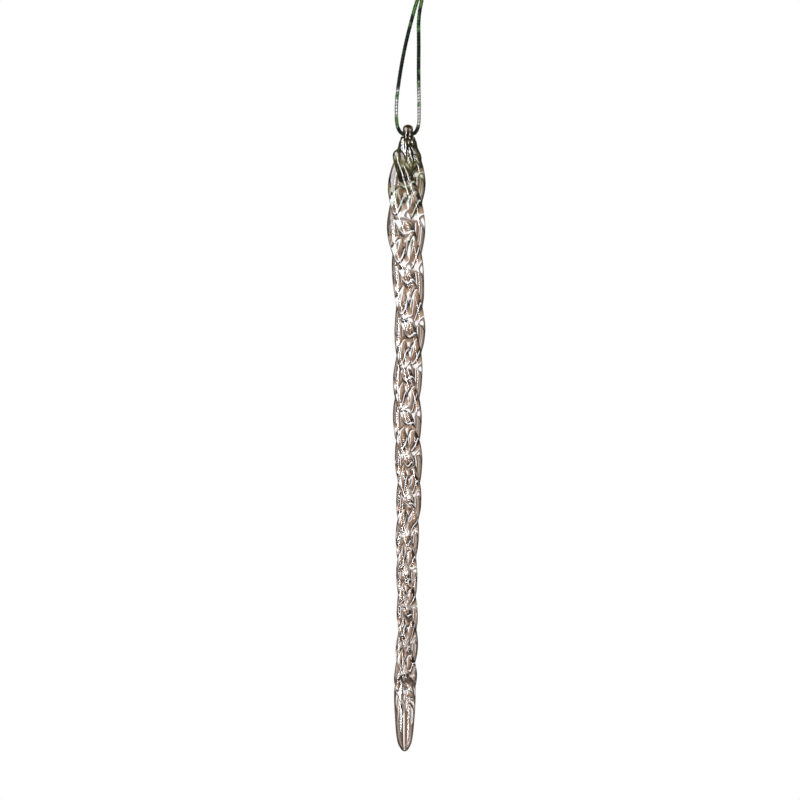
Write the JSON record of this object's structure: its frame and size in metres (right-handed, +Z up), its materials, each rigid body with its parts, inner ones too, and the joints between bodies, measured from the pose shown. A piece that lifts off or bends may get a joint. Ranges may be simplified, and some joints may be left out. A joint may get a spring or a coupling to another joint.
{
  "type": "icicle hanging ornament",
  "caption": "Hand-twisted clear glass icicle that tapers to a rounded tip and hangs by its glass eye from a knotted metallic cord loop.",
  "frame": {"origin": "inside top of the small hanging loop, the point that a hook carries", "axes": "+Z up, +X to the right along the hole of the glass eye, +Y to the back"},
  "size_m": [0.0128, 0.011, 0.2194],
  "materials": {
    "clear_glass": "clear lampworked glass, fire-polished, with drawn-out streaks along the twist",
    "metallic_cord": "braided metallic thread, dark green and black with bright green and silver glints"
  },
  "bodies": {
    "hanger": {"hanging_loop": "metallic_cord"},
    "knot": {"knot": "metallic_cord", "cord_tails": "metallic_cord"},
    "strands": {"cord_strands": "metallic_cord"},
    "icicle": {"hanging_eye": "clear_glass", "neck": "clear_glass", "glass_cane_1": "clear_glass", "glass_cane_2": "clear_glass", "glass_cane_3": "clear_glass", "glass_cane_4": "clear_glass", "drip_tip": "clear_glass"}
  },
  "joints": [
    {"name": "twirl", "type": "hinge", "parent": "hanger", "child": "knot", "pos_m": [0, 0, -0.0173], "axis": [0, 0, 1], "range_deg": [-180, 180]},
    {"name": "side_swing", "type": "hinge", "parent": "knot", "child": "strands", "pos_m": [0, 0, -0.0173], "axis": [0, 1, 0], "range_deg": [-45, 45]},
    {"name": "rock_on_cord", "type": "hinge", "parent": "strands", "child": "icicle", "pos_m": [-0.0037, 0, -0.05645], "axis": [1, 0, 0], "range_deg": [-70, 70]}
  ]
}
